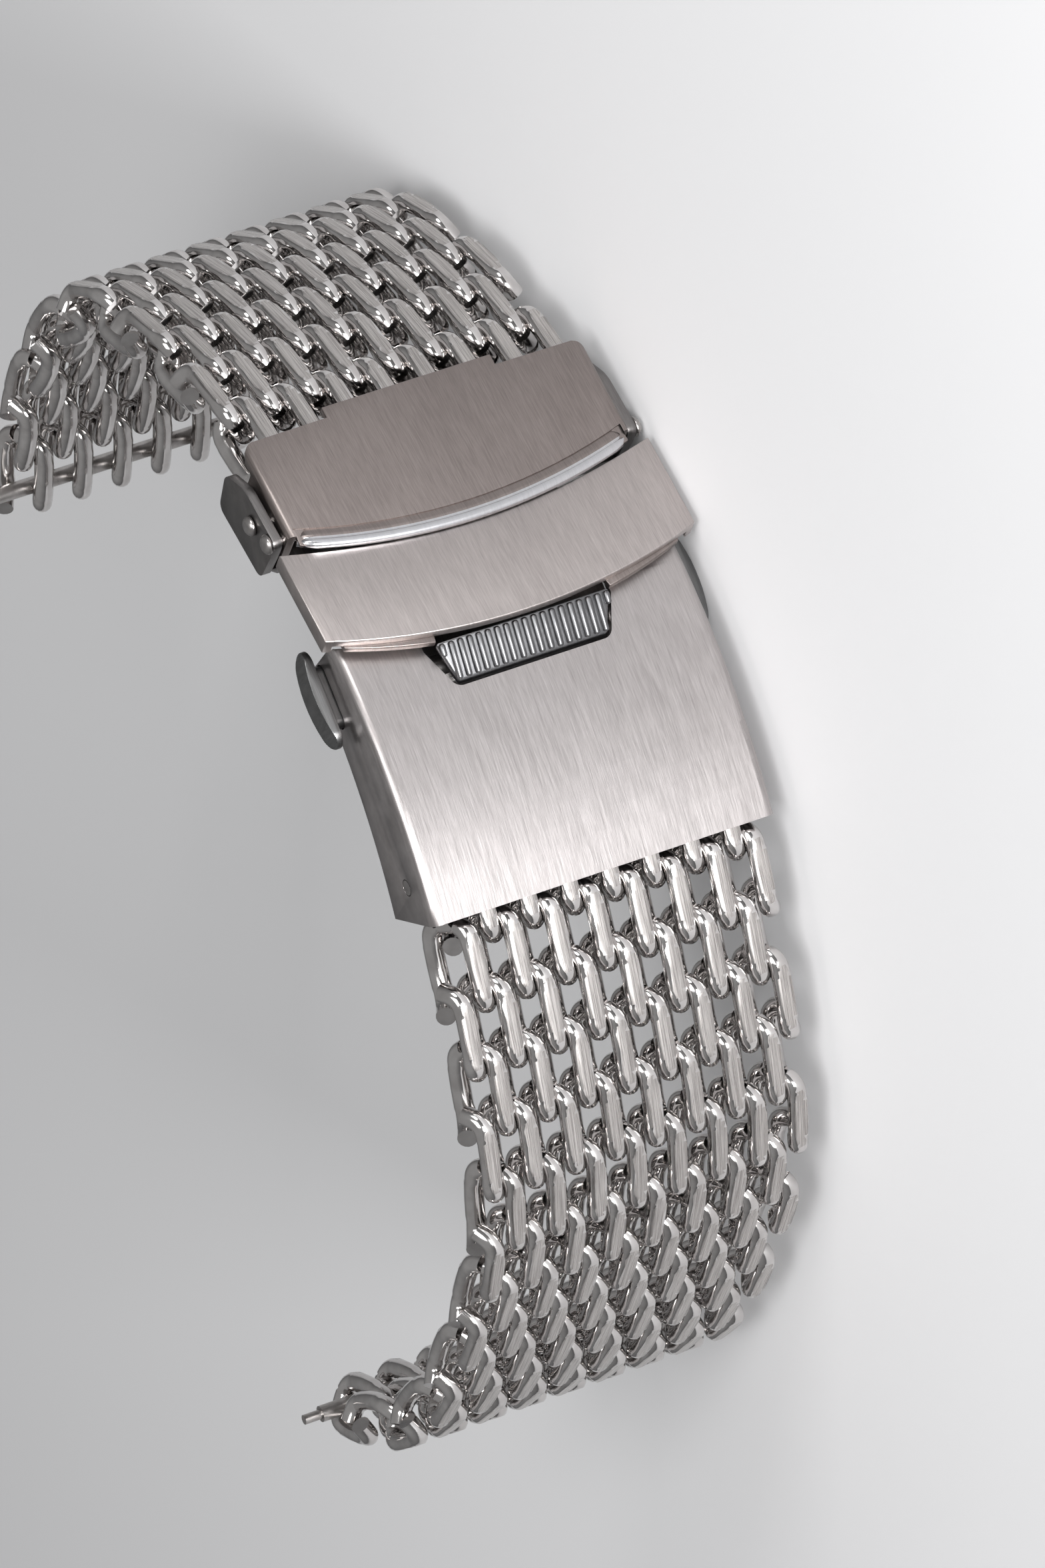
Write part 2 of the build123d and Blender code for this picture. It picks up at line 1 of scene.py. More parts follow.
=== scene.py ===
# %% [markdown]
# # A shark mesh watch bracelet
#
# The real bracelet is a band of interlinked steel coils with a fold-over clasp of brushed steel sheet.
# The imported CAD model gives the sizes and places. This lesson dresses it piece by piece: the flat-sided
# CAD coils become round polished wire with ground facets, and the sharp sheet edges become soft ones.

# %% Load the frame and note its box
import json
from math import atan2, cos, hypot, pi, radians, sin, tan

import bpy
from mathutils import Matrix, Vector

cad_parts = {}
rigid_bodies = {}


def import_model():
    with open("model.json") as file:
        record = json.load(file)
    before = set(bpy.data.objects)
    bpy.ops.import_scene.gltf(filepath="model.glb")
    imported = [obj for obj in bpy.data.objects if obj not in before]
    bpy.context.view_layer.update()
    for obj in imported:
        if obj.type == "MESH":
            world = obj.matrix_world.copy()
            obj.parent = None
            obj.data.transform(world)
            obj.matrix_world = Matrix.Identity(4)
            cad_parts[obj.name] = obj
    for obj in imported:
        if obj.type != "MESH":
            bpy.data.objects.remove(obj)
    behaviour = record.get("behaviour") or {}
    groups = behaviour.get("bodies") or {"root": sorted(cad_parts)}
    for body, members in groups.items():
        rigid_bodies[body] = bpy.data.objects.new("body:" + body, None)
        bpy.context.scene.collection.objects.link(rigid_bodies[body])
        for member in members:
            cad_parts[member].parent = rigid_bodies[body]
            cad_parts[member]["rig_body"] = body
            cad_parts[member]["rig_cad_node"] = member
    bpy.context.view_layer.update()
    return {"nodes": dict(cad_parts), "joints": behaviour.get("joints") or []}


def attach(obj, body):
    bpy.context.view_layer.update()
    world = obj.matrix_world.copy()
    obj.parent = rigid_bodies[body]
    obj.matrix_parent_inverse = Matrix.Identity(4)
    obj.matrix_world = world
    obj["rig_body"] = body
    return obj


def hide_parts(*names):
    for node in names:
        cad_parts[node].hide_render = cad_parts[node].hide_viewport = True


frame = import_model()
joints = {joint["name"]: joint for joint in frame["joints"]}
print("nodes", len(frame["nodes"]))

# %% [markdown]
# The clasp follows a circle, and its sizes are given as a place along that circle and a level above the
# middle of the mesh. The same two numbers are used here, in millimetres, so that each piece can be set
# against the CAD source. One hinge with a known place gives the shift between the two frames.

# %% Places along the clasp
mm = 0.001
loop_radius = 35.84
hinge_place, hinge_level = 16.6, -1.1
across_band = Vector((0, 0, -1))


def along(turn):
    """Direction that runs down the band, where the circle has turned by this angle."""
    return Vector((-cos(turn), sin(turn), 0))


def outward(turn):
    """Direction that points away from the wrist at the same spot."""
    return Vector((-sin(turn), -cos(turn), 0))


def at(place, level):
    """Point of the side view, in millimetres from the middle of the clasp's circle."""
    return outward(place / loop_radius) * (loop_radius + level)


def turned_to(x_axis, y_axis, z_axis):
    """Matrix that turns the three axes to these directions."""
    return Matrix((x_axis, y_axis, z_axis)).transposed().to_4x4()


band_middle = Vector(joints["leaf_hinge"]["pos_m"]) / mm - at(hinge_place, hinge_level)
print("middle of the clasp's circle", [round(value, 3) for value in band_middle])

# %% [markdown]
# The camera comes first, because the photograph fixes it: a long lens about 80 cm away, looking down on
# the clasp with the band running from the upper left downwards. Its place and its three directions were
# fitted to the corners of the clasp.

# %% Camera
lens_length, sensor_height = 309.9, 36
nearest_seen, farthest_seen = 0.05, 10
camera_from_middle = Vector((-285.38, -682.99, 289.77))
camera_right = Vector((-0.42816, -0.21045, -0.87885))
camera_up = Vector((0.83129, -0.47315, -0.29169))
camera_back = Vector((-0.35445, -0.85547, 0.37754))
camera_data = bpy.data.cameras.new("camera")
camera_data.sensor_fit = "VERTICAL"
camera_data.sensor_height = sensor_height
camera_data.lens = lens_length
camera_data.clip_start = nearest_seen
camera_data.clip_end = farthest_seen
camera = bpy.data.objects.new("camera", camera_data)
bpy.context.scene.collection.objects.link(camera)
camera.matrix_world = Matrix.Translation((band_middle + camera_from_middle) * mm) @ turned_to(
    camera_right, camera_up, camera_back)
bpy.context.scene.camera = camera
print("camera distance in mm", round(camera_from_middle.length))

# %% [markdown]
# An operator of Blender acts on all that is selected, and the loaded CAD nodes are all selected. So the
# first helper selects only the pieces that are worked on. The others apply a piece's modifiers, close and
# turn its faces, put its place in its mesh, give it a finish and a body, and hide the CAD nodes it stands
# for.

# %% Helpers for working as by hand
def pick(*objects):
    """Only these objects are selected, and the last is the active one."""
    bpy.ops.object.select_all(action="DESELECT")
    for piece in objects:
        piece.select_set(True)
        bpy.context.view_layer.objects.active = piece


def finish_modifiers(piece):
    """Applies a piece's modifiers in their order."""
    pick(piece)
    for modifier in list(piece.modifiers):
        bpy.ops.object.modifier_apply(modifier=modifier.name)


def close_up(piece):
    """Fills a mesh's open ends and turns all its faces outwards."""
    pick(piece)
    bpy.ops.object.mode_set(mode="EDIT")
    bpy.ops.mesh.select_all(action="SELECT")
    bpy.ops.mesh.fill_holes(sides=0)
    bpy.ops.mesh.select_all(action="SELECT")
    bpy.ops.mesh.normals_make_consistent(inside=False)
    bpy.ops.object.mode_set(mode="OBJECT")


def set_in_mesh(piece, matrix):
    """Puts a piece's place in its mesh and leaves its object at the origin."""
    piece.data.transform(matrix @ piece.matrix_world)
    piece.matrix_world = Matrix.Identity(4)


def dress(piece, body, nodes, material, angle=35):
    """Smooth shading, a finish and the body it moves with, and hides the CAD nodes it stands for."""
    pick(piece)
    bpy.ops.object.shade_smooth_by_angle(angle=radians(angle))
    piece.data.materials.clear()
    piece.data.materials.append(material)
    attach(piece, body)
    if nodes:
        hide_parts(*nodes)


# %% [markdown]
# Each finish is worked out from the place on the object, never from a picture. A small class wraps a
# socket, so that a pattern can be written as a sum or a product and its Math nodes appear by themselves.
# A second class holds the nodes of a material, or of the world, and adds every other node.

# %% Shader maths
class Value:
    """A number that changes over a surface. Sums and products of it add Math nodes."""

    def __init__(self, finish, socket):
        self.finish = finish
        self.socket = socket

    def maths(self, operation, other):
        return self.finish.node("ShaderNodeMath", "Value", {"operation": operation}, {0: self, 1: other})

    def __add__(self, other):
        return self.maths("ADD", other)

    __radd__ = __add__

    def __mul__(self, other):
        return self.maths("MULTIPLY", other)

    __rmul__ = __mul__


def set_stops(band, stops):
    """Gives a colour ramp its two stops. Each is a place from 0 to 1 and a colour."""
    for element, (place, colour) in zip(band.elements, stops):
        element.position = place
        element.color = (*colour, 1)


class Finish:
    """The nodes of a material or of the world, and the shader that they feed."""

    def __init__(self, owner, shader_name, **fixed):
        owner.use_nodes = True
        self.tree = owner.node_tree
        self.shader = self.tree.nodes[shader_name]
        for socket_name, value in fixed.items():
            self.shader.inputs[socket_name.replace("_", " ")].default_value = value

    def node(self, kind, output, settings=None, sockets=None):
        """Adds a node. Its settings are set first, then its sockets get values or links."""
        made = self.tree.nodes.new(kind)
        for key, setting in (settings or {}).items():
            if key == "stops":
                set_stops(made.color_ramp, setting)
            else:
                setattr(made, key, setting)
        for key, value in (sockets or {}).items():
            if isinstance(value, Value):
                self.tree.links.new(value.socket, made.inputs[key])
            else:
                made.inputs[key].default_value = value
        return Value(self, made.outputs[output])

    def to_shader(self, socket_name, value):
        self.tree.links.new(value.socket, self.shader.inputs[socket_name])

    def colour(self, amount, between, dark, light, socket_name="Base Color"):
        """Goes from the dark to the light colour as the amount goes between two values."""
        stops = list(zip(between, (dark, light)))
        shade = self.node("ShaderNodeValToRGB", "Color", {"stops": stops}, {"Fac": amount})
        self.to_shader(socket_name, shade)

    def rough_bump(self, height, strength, distance):
        """Raises the surface by a height pattern."""
        bump = self.node("ShaderNodeBump", "Normal", None,
                         {"Height": height, "Strength": strength, "Distance": distance * mm})
        self.to_shader("Normal", bump)


# %% [markdown]
# The clasp's sheet is brushed: an abrasive belt leaves fine scratches that run down the band. Their
# pattern is noise that is squeezed across the band and stretched along it. The loop lies on its side, so
# across the band is the Z axis everywhere, and one mapping serves for every turn of the band. Scratches,
# finer hairs and soft clouds are mixed. Each pair of scales says how fine a pattern is across and along.

# %% Brushed clasp steel
scratch_scales, hair_scales, cloud_scales = (9000, 380), (26000, 900), (260, 160)
fine_detail, soft_detail = 3.0, 2.0
noise_roughness = 0.6
scratch_share, hair_share, cloud_share = 0.3, 0.55, 0.15
colour_between = (0.3, 0.7)
scratch_depth = 0.012
roughness_swing = 0.1


def grain(finish, scales, detail=fine_detail):
    """Noise drawn out along the band. The band's width is the Z axis, so only Z is squeezed."""
    across_scale, along_scale = scales
    squeezed = finish.node("ShaderNodeMapping", "Vector", {"vector_type": "POINT"}, {
        "Vector": finish.node("ShaderNodeTexCoord", "Object"),
        "Scale": (along_scale, along_scale, across_scale),
    })
    return finish.node("ShaderNodeTexNoise", "Fac", {"noise_dimensions": "3D"}, {
        "Vector": squeezed, "Scale": 1.0, "Detail": detail, "Roughness": noise_roughness,
    })


def brushed(name, dark, light, roughness, bump=0.25):
    """Belt-brushed steel between two colours. Its scratches also change how rough it is."""
    steel = bpy.data.materials.new(name)
    finish = Finish(steel, "Principled BSDF", Metallic=1.0)
    scratches = grain(finish, scratch_scales)
    hairs = grain(finish, hair_scales)
    clouds = grain(finish, cloud_scales, soft_detail)
    mixed = scratches * scratch_share + hairs * hair_share + clouds * cloud_share
    finish.colour(mixed, colour_between, dark, light)
    finish.to_shader("Roughness", roughness - roughness_swing + scratches * (2 * roughness_swing))
    finish.rough_bump(scratches * 0.5 + hairs * 0.5, bump, scratch_depth)
    return steel


# The bridge and the inner plate get a darker copy of the clasp steel; the darkness is painted shade.
painted_shade_bridge_steel = brushed("brushed bridge steel darkened as painted shade", (0.20, 0.172, 0.163), (0.33, 0.29, 0.275), 0.38)
clasp_steel = brushed("brushed clasp steel", (0.36, 0.325, 0.315), (0.56, 0.515, 0.50), 0.36)
cover_steel = brushed("brushed cover steel", (0.34, 0.315, 0.31), (0.54, 0.51, 0.505), 0.33, bump=0.6)
# The tab's steel is darkened as painted shade, for the shadow under the flip lock's edge.
painted_shade_tab_steel = brushed("tab steel darkened as painted shade", (0.10, 0.10, 0.105), (0.22, 0.22, 0.225), 0.34, bump=0.1)
# The leaves' steel is darkened as painted shade, for their shaded side walls.
painted_shade_base_steel = brushed("base steel darkened as painted shade", (0.15, 0.14, 0.138), (0.26, 0.25, 0.245), 0.36, bump=0.1)
# The bead is polished, and its lighter colour is partly a painted highlight.
bead_steel_with_painted_highlight = brushed("polished bead steel with painted highlight", (0.52, 0.52, 0.54), (0.66, 0.66, 0.68), 0.22, bump=0.08)
# The buttons' steel is darkened as painted shade.
button_steel = brushed("button steel darkened as painted shade", (0.13, 0.13, 0.13), (0.24, 0.24, 0.24), 0.36, bump=0.1)

# %% [markdown]
# The wire is polished, so its colour hardly changes. The facets were ground across the finished band
# with a belt, and show fine scratches along the band. The pins are plain drawn steel. For each of the
# three, one grain gives both the colour and the roughness.

# %% Wire and pin steel
smudge_scales, belt_scales, speckle_scales = (700, 700), (22000, 330), (1500, 1500)
belt_between = (0.32, 0.68)
belt_depth = 0.01


def drawn(name, scales, dark, light, smoothest, spread, detail=fine_detail, between=colour_between, bump=0):
    """Steel whose colour and roughness follow one grain, from its smoothest spots on."""
    steel = bpy.data.materials.new(name)
    finish = Finish(steel, "Principled BSDF", Metallic=1.0)
    marks = grain(finish, scales, detail)
    finish.colour(marks, between, dark, light)
    finish.to_shader("Roughness", smoothest + marks * spread)
    if bump:
        finish.rough_bump(marks, bump, belt_depth)
    return steel


wire_steel = drawn("polished wire steel", smudge_scales, (0.57, 0.545, 0.535), (0.72, 0.70, 0.69),
                   smoothest=0.06, spread=0.12, detail=soft_detail)
facet_steel = drawn("ground facet steel", belt_scales, (0.30, 0.28, 0.27), (0.66, 0.63, 0.61),
                    smoothest=0.2, spread=0.16, between=belt_between, bump=0.15)
pin_steel = drawn("plain pin steel", speckle_scales, (0.34, 0.32, 0.31), (0.50, 0.48, 0.47),
                  smoothest=0.22, spread=0.15)
print("materials", [material.name for material in bpy.data.materials])

# %% [markdown]
# A shark mesh row is one wire wound into a flat coil. The CAD coil has six flat sides and sharp bends.
# The real wire is round and bends in a tight curve at each side, and its long runs bow outwards a little.
# One turn could be modelled and repeated, but a path for the whole row keeps the wire unbroken. The path
# starts as the sharp corners of each turn, and each corner is then rounded.

# %% The wire's path
coil_pitch, coil_turns = 2.62, 8
row_pitch = 3.75
wire_flat, wire_sides = 0.95, 6
hook_gap = 0.353
shoulder_back = 0.3
hook_slope = radians(30)
coil_reach = (row_pitch + wire_flat / cos(pi / wire_sides) + hook_gap) / 2
coil_shoulder = coil_reach - shoulder_back
coil_lift = coil_pitch / (4 * tan(hook_slope))
shoulder_cut, apex_cut = 0.86, 0.58
bend_steps = 8
run_arch = 0.14
arch_shares = (0.25, 0.5, 0.75)


def rounded(corner, before, after, cut):
    """Points of a soft bend at a corner, which starts and ends at a distance from it."""
    first = corner + (before - corner).normalized() * cut
    last = corner + (after - corner).normalized() * cut
    shares = [step / bend_steps for step in range(bend_steps + 1)]
    return [first.lerp(corner, share).lerp(corner.lerp(last, share), share) for share in shares]


def arched(first, last):
    """Points within a long run, which bows away from the middle of the coil."""
    side = 1 if first.z > 0 else -1
    points = [first.lerp(last, share) for share in arch_shares]
    for point in points:
        point.z += side * run_arch * (1 - (point.x / coil_shoulder) ** 2)
    return points


def coil_path(turns, over):
    """Middle line of one row's wire, in millimetres. over turns the coil about the width of the band."""
    # Each corner of a turn has its place down the band, its quarters of the pitch and its height.
    one_turn = ((-coil_reach, 0, 0), (-coil_shoulder, 1, coil_lift), (coil_shoulder, 1, coil_lift),
                (coil_reach, 2, 0), (coil_shoulder, 3, -coil_lift), (-coil_shoulder, 3, -coil_lift))
    start = -turns * coil_pitch / 2
    corners = [Vector((x, start + (turn + quarters / 4) * coil_pitch, z))
               for turn in range(turns) for x, quarters, z in one_turn]
    corners.append(Vector((-coil_reach, -start, 0)))
    points = [corners[0]]
    for before, corner, after in zip(corners, corners[1:], corners[2:]):
        on_run = abs(corner.z) > coil_lift / 2
        points += rounded(corner, before, after, shoulder_cut if on_run else apex_cut)
        if on_run and corner.x * after.x < 0:
            points += arched(corner, after)
    points.append(corners[-1])
    return [Vector((-p.x, p.y, -p.z)) if over else p for p in points]


print("a row's wire has a path of", len(coil_path(coil_turns, False)), "points")

# %% [markdown]
# The finished band was ground on its outer side, which leaves a long narrow facet on each outer run. A
# bisect with its cut filled also makes one, but leaves thin slivers along its rim that shade badly. So
# each point above the belt's plane is pressed down to it, and the facet's rim is set where the wire's
# round side meets the plane.

# %% Grinding
facet_rise = 0.47
facet_level = coil_lift + facet_rise
facet_slack = 0.002


def grind(coil, ring):
    """Presses everything above the belt's plane down to it. ring is the count of points round the wire."""
    level = facet_level * mm
    before = [vertex.co.copy() for vertex in coil.data.vertices]
    for index, point in enumerate(before):
        if point.z <= level:
            continue
        target = Vector((point.x, point.y, level))
        start = index - index % ring
        for step in (-1, 1):
            beside = before[start + (index - start + step) % ring]
            if beside.z < level:
                target = beside.lerp(point, (level - beside.z) / (point.z - beside.z))
        coil.data.vertices[index].co = target


print("belt's plane lies", round(facet_level, 3), "mm above the middle of a row")

# %% [markdown]
# A curve with a round bevel along the path gives the wire. It is made a mesh without caps, so that its
# rings follow each other and all have the same number of points, which grinding needs. Only then are its
# two ends closed. Three coils are modelled, and all 28 rows are copies of them.

# %% Three wire coils
wire_radius = 0.585
wire_roundness = 6
coil_angle = 75


def polish(coil):
    """Polished wire all over, and ground steel on each face that lies in the belt's plane."""
    bpy.ops.object.shade_smooth_by_angle(angle=radians(coil_angle))
    coil.data.materials.clear()
    coil.data.materials.append(wire_steel)
    coil.data.materials.append(facet_steel)
    for face in coil.data.polygons:
        heights = [coil.data.vertices[corner].co.z / mm for corner in face.vertices]
        face.material_index = int(min(heights) > facet_level - facet_slack)


def wire_coil(name, turns, over):
    """A round wire along the path, ground flat on its outer side."""
    bpy.ops.object.select_all(action="DESELECT")
    bpy.ops.curve.primitive_nurbs_path_add()
    bpy.context.object.name = name
    path = coil_path(turns, over)
    line = bpy.context.object.data
    line.splines.clear()
    spline = line.splines.new("POLY")
    spline.points.add(len(path) - 1)
    for place, point in zip(spline.points, path):
        place.co = (*(point * mm), 1)
    line.dimensions = "3D"
    line.twist_mode = "MINIMUM"
    line.bevel_depth = wire_radius * mm
    line.bevel_resolution = wire_roundness
    line.use_fill_caps = False
    bpy.ops.object.convert(target="MESH")
    coil = bpy.context.object
    grind(coil, len(coil.data.vertices) // len(path))
    close_up(coil)
    polish(coil)
    return coil


coils = {
    "plain": wire_coil("wide coil", coil_turns, False),
    "over": wire_coil("wide coil turned over", coil_turns, True),
    "narrow": wire_coil("narrow coil", coil_turns - 1, True),
}
for coil in coils.values():
    print(coil.name, len(coil.data.vertices), "points, highest",
          round(max(vertex.co.z for vertex in coil.data.vertices) / mm, 3))

# %% [markdown]
# The rows hang together by their side bends. Each row is one pitch further on and turned a little, and
# every second wide coil is turned over, so that its bends fall between its neighbour's runs. The first
# row is one turn narrower, which alone moves its bends by half a turn, so it is turned over as the second
# is. The angles, in degrees from row to row, give the band its loose fall on the floor.

# %% Rows of the mesh
upper_turns = (6.0, 8.2, 8.8, 5.0, 6.0, 13.0, 15.9, 10.0, 7.0, 6.0, 8.0, 10.0)
lower_turns = (4.0, 4.0, 3.3, 3.9, 10.6, 14.5, 9.0, 2.6, 2.6, 4.4, 8.9, 10.0, 10.0, 8.0)
upper_row_place, lower_row_place = -4.42, 21.28
lower_row_sink = 0.1


def row_places(place, level, turns, side):
    """Middle and angle of each row. side is -1 up the band and 1 down it."""
    found = [(at(place, level), place / loop_radius)]
    for step in turns:
        point, turn = found[-1]
        after = turn + side * radians(step)
        half = side * row_pitch / 2
        found.append((point + along(turn) * half + along(after) * half, after))
    return found


def hang_rows(side_name, places):
    """Copies the right coil to each row and hands it to that row's body."""
    for number, (point, turn) in enumerate(places):
        node = f"{side_name}_row_{number + 1:02d}"
        source = coils["narrow" if number == 0 else "over" if number % 2 else "plain"]
        row = source.copy()
        row.data = source.data.copy()
        row.name = "wire_" + node
        bpy.context.scene.collection.objects.link(row)
        turned = turned_to(along(turn), across_band, outward(turn))
        set_in_mesh(row, Matrix.Translation((band_middle + point) * mm) @ turned)
        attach(row, frame["nodes"][node]["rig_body"])
        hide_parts(node)


hang_rows("upper", row_places(upper_row_place, 0, upper_turns, -1))
hang_rows("lower", row_places(lower_row_place, -lower_row_sink, lower_turns, 1))
for coil in coils.values():
    bpy.data.objects.remove(coil)
print("rows", len(upper_turns) + 1, "above the clasp and", len(lower_turns) + 1, "below it")

# %% [markdown]
# Pressed and brushed sheet never has a knife edge. The CAD solids of the clasp have the right outlines,
# so their meshes are copied, their loose triangles are merged into large faces, and every sharp edge gets
# a small round bevel. The bevel's width is the one thing that differs from piece to piece.

# %% Clasp pieces with soft edges
merge_distance = 0.001
flat_angle, sharp_angle = 0.5, 28
soft_segments = 2


def soft_start(node):
    """A copy of a CAD node as one closed mesh with large faces."""
    source = frame["nodes"][node]
    piece = source.copy()
    piece.data = source.data.copy()
    piece.parent = None
    piece.name = "dressed_" + node
    bpy.context.scene.collection.objects.link(piece)
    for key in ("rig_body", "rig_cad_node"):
        del piece[key]
    pick(piece)
    bpy.ops.object.mode_set(mode="EDIT")
    bpy.ops.mesh.select_all(action="SELECT")
    bpy.ops.mesh.remove_doubles(threshold=merge_distance * mm)
    bpy.ops.mesh.dissolve_limited(angle_limit=radians(flat_angle))
    bpy.ops.object.mode_set(mode="OBJECT")
    return piece


def soften(piece, width):
    """A small round bevel on every sharp edge."""
    bevel = piece.modifiers.new("soft edges", "BEVEL")
    bevel.width = width * mm
    bevel.segments = soft_segments
    bevel.limit_method = "ANGLE"
    bevel.angle_limit = radians(sharp_angle)
    bevel.use_clamp_overlap = True
    even = piece.modifiers.new("even shading", "WEIGHTED_NORMAL")
    even.keep_sharp = True
    finish_modifiers(piece)


def side_view(point):
    """Place along the clasp, level and place across the band of a point of the mesh, in millimetres."""
    offset = point / mm - band_middle
    turn = atan2(-offset.x, -offset.y)
    return turn * loop_radius, offset.xy.length - loop_radius, -offset.z


# %% [markdown]
# The upper plates follow the flip lock's flat face, which is a straight line in the side view and not the
# clasp's circle. So they have three numbers of their own: along that face, below it and across the band.

# %% Plane of the flip lock
lock_length = 6.18
lock_start_level, lock_end_level = 1.8, 2.66


def square_to(line, wanted):
    """Direction at a right angle to a line of the side view, on the wanted side of it."""
    normal = Vector((-line.y, line.x, 0))
    return normal if normal.dot(wanted) > 0 else -normal


lock_start = at(0, lock_start_level)
lock_along = (at(lock_length, lock_end_level) - lock_start).normalized()
lock_down = square_to(lock_along, -lock_start)


def on_lock(run, depth, across=0):
    """Point in metres, along the flip lock's flat outer face, below it and across the band."""
    return (band_middle + lock_start + lock_along * run + lock_down * depth + across_band * across) * mm


def lock_numbers(point):
    """The three numbers that on_lock would need for a point."""
    offset = point / mm - band_middle - lock_start
    return offset.dot(lock_along), offset.dot(lock_down), offset.dot(across_band)


print("the flip lock runs along", [round(value, 3) for value in lock_along])

# %% [markdown]
# The end bridge is the upper plate of the clasp. Its lower edge is bowed and swells into a polished bead,
# where the CAD has a square strip. The strip could be bevelled, but the real bead has a groove behind it,
# so the strip is sunk and shortened here, and the bead is spun over it in the next steps.

# %% End bridge with its strip sunk
bridge_edge, edge_bow, lip_half_width = -0.6, 1.6, 10.5
bow_radius = (lip_half_width ** 2 + edge_bow ** 2) / (2 * edge_bow)
bow_middle = bridge_edge + edge_bow - bow_radius
strip_top, strip_sunk_top = -0.46, -0.27
strip_start, strip_reach, strip_short_reach = -0.5, 1.2, 0.7
side_slack, reach_slack, level_slack = 0.02, 0.1, 0.015


def beyond_bow(run, across):
    """How far a point of the flip lock's plane lies beyond the bridge's bowed edge."""
    return Vector((run - bow_middle, across)).length - bow_radius


bridge = soft_start("end_bridge")
for vertex in bridge.data.vertices:
    run, depth, across = lock_numbers(vertex.co)
    beyond = beyond_bow(run, across)
    if abs(across) > lip_half_width + side_slack or not strip_start < beyond < strip_reach + reach_slack:
        continue
    if beyond > strip_reach - reach_slack:
        run -= strip_reach - strip_short_reach
    if abs(depth - strip_top) < level_slack:
        depth = strip_sunk_top
    vertex.co = on_lock(run, depth, across)
print("radius of the bridge's bow", round(bow_radius, 2))

# %% [markdown]
# The bridge's two upper corners are round. The plate is bisected near its sides, and the points there are
# pulled back along a quarter circle. That rounds the whole corner, turned-down side and all, and leaves
# the rest of the plate as it is.

# %% Round upper corners
bridge_half_width, corner_size = 10.91, 0.9
corner_cut_shares = (0.1, 0.3, 0.5, 0.7)
fade_start, fade_length = -5.9, 0.7
bridge_bevel = 0.06

pick(bridge)
bpy.ops.object.mode_set(mode="EDIT")
for side in (-1, 1):
    for share in corner_cut_shares:
        cut = side * (bridge_half_width - share * corner_size)
        bpy.ops.mesh.select_all(action="SELECT")
        bpy.ops.mesh.bisect(plane_co=(band_middle + across_band * cut) * mm, plane_no=(0, 0, 1))
bpy.ops.object.mode_set(mode="OBJECT")
for vertex in bridge.data.vertices:
    run, level, across = side_view(vertex.co)
    inside = abs(across) - (bridge_half_width - corner_size)
    if inside <= 0 or run > fade_start:
        continue
    shift = corner_size - max(corner_size ** 2 - inside ** 2, 0) ** 0.5
    fade = min(1, (fade_start - run) / fade_length)
    vertex.co += along(run / loop_radius) * shift * fade * mm
soften(bridge, bridge_bevel)
print("bridge faces", len(bridge.data.polygons))

# %% [markdown]
# The bead's profile has a soft rise, a fine groove and a round bead. Each of its points says how far it
# lies beyond the bowed edge and how high it stands over the flip lock's face. A circle with as many points
# is bent to the profile, and spun about the middle of the bow.

# %% Bead spun along the bridge's lower edge
bead_rise = [(-0.6, 0.1), (-0.6, 0.27), (-0.35, 0.31), (-0.12, 0.38), (0.02, 0.42), (0.12, 0.43), (0.2, 0.4)]
bead_middle, bead_height, bead_radius, bead_foot = 0.55, 0.18, 0.3, 0.1
arc_start, arc_end, arc_step = 40, 180, 14
bead_arc = [radians(angle) for angle in range(arc_start, arc_end + 1, arc_step)]
bead_round = [(bead_middle - bead_radius * cos(angle), bead_height + bead_radius * sin(angle))
              for angle in bead_arc]
bead_profile = bead_rise + bead_round + [(bead_middle + bead_radius, bead_foot)]
bead_half_angle, bead_steps = radians(17.1), 40

bpy.ops.mesh.primitive_circle_add(vertices=len(bead_profile), radius=mm, fill_type="NOTHING")
bead = bpy.context.object
for vertex, (beyond, height) in zip(bead.data.vertices, bead_profile):
    reach = bow_radius + beyond
    vertex.co = on_lock(bow_middle + reach * cos(bead_half_angle), -height, -reach * sin(bead_half_angle))
bpy.ops.object.mode_set(mode="EDIT")
bpy.ops.mesh.select_all(action="SELECT")
bpy.ops.mesh.spin(steps=bead_steps, angle=2 * bead_half_angle, center=on_lock(bow_middle, 0), axis=lock_down)
bpy.ops.object.mode_set(mode="OBJECT")
close_up(bead)
reached = [lock_numbers(vertex.co)[2] for vertex in bead.data.vertices]
print("bead reaches across from", round(min(reached), 2), "to", round(max(reached), 2))

# %% [markdown]
# The real bead runs out softly at both ends. Its last points draw back towards the bow and sink a little.
# Then it is joined to the bridge, and the faces beyond the groove get the polished steel, whose lighter
# colour is partly a painted highlight.

# %% Bead ends, and the bridge in one piece
taper_start, taper_length = 9.6, 0.8
taper_draw, taper_sink, taper_floor = 0.25, 0.22, -0.2
groove_end = 0.16

for vertex in bead.data.vertices:
    run, depth, across = lock_numbers(vertex.co)
    taper = (max(0, abs(across) - taper_start) / taper_length) ** 2
    run -= taper_draw * taper * max(0, beyond_bow(run, across))
    depth += taper_sink * taper if depth < taper_floor else 0
    vertex.co = on_lock(run, depth, across)
bead_points = len(bead.data.vertices)
pick(bead, bridge)
bpy.ops.object.join()
# The bridge's darker steel is painted shade.
dress(bridge, "base", ["end_bridge"], painted_shade_bridge_steel)
# The bead's lighter polished steel is partly a painted highlight.
bridge.data.materials.append(bead_steel_with_painted_highlight)
first_bead_point = len(bridge.data.vertices) - bead_points
for face in bridge.data.polygons:
    run, depth, across = lock_numbers(face.center)
    if min(face.vertices) >= first_bead_point and beyond_bow(run, across) > groove_end:
        face.material_index = 1
print("polished faces", sum(face.material_index == 1 for face in bridge.data.polygons))

